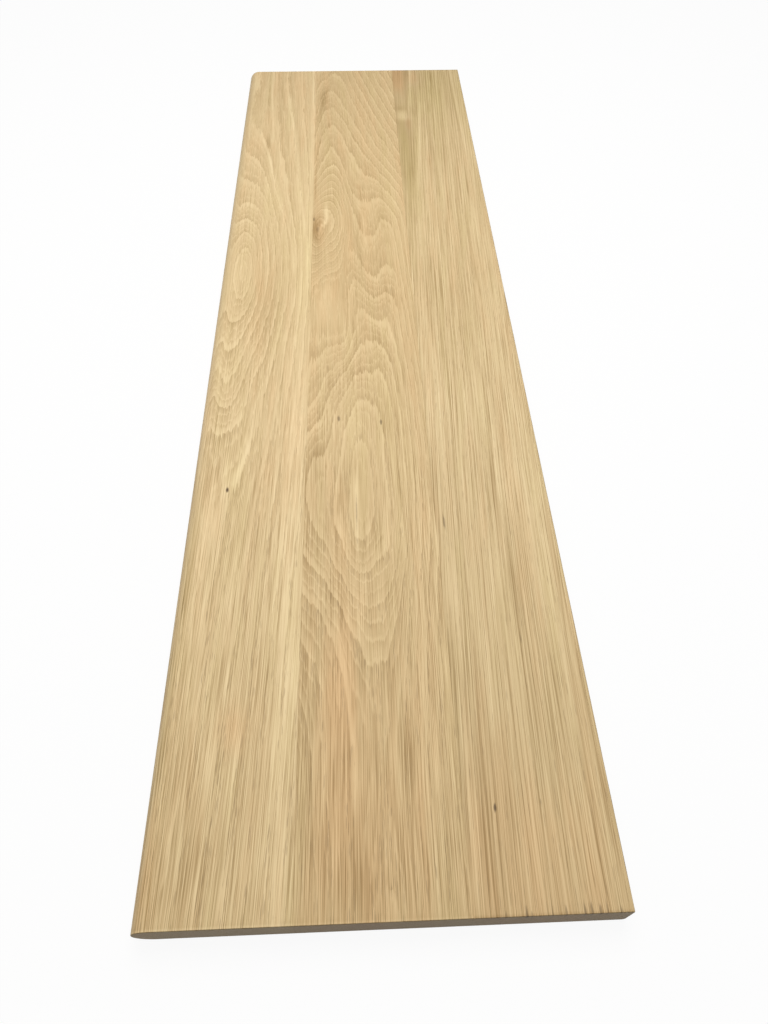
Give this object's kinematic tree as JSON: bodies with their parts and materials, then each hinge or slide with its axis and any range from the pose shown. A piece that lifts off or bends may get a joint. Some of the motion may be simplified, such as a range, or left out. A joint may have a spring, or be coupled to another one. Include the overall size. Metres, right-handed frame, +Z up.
{
  "type": "stair tread",
  "caption": "Solid oak stair tread, edge-glued from wide staves, with a full bullnose along the front edge and an eased square back edge.",
  "frame": {"origin": "under the middle of the tread, on the plane of its underside", "axes": "+X along the tread, +Y towards the square back edge, with the bullnose at -Y, +Z up out of the walking face"},
  "size_m": [1.0668, 0.2921, 0.0254],
  "materials": {
    "nosing_oak": "bare sanded white oak, matt",
    "middle_oak": "bare sanded white oak, matt",
    "back_oak": "bare sanded white oak, matt"
  },
  "bodies": {
    "root": {"nosing_stave": "nosing_oak", "middle_stave": "middle_oak", "back_stave": "back_oak"}
  },
  "joints": []
}
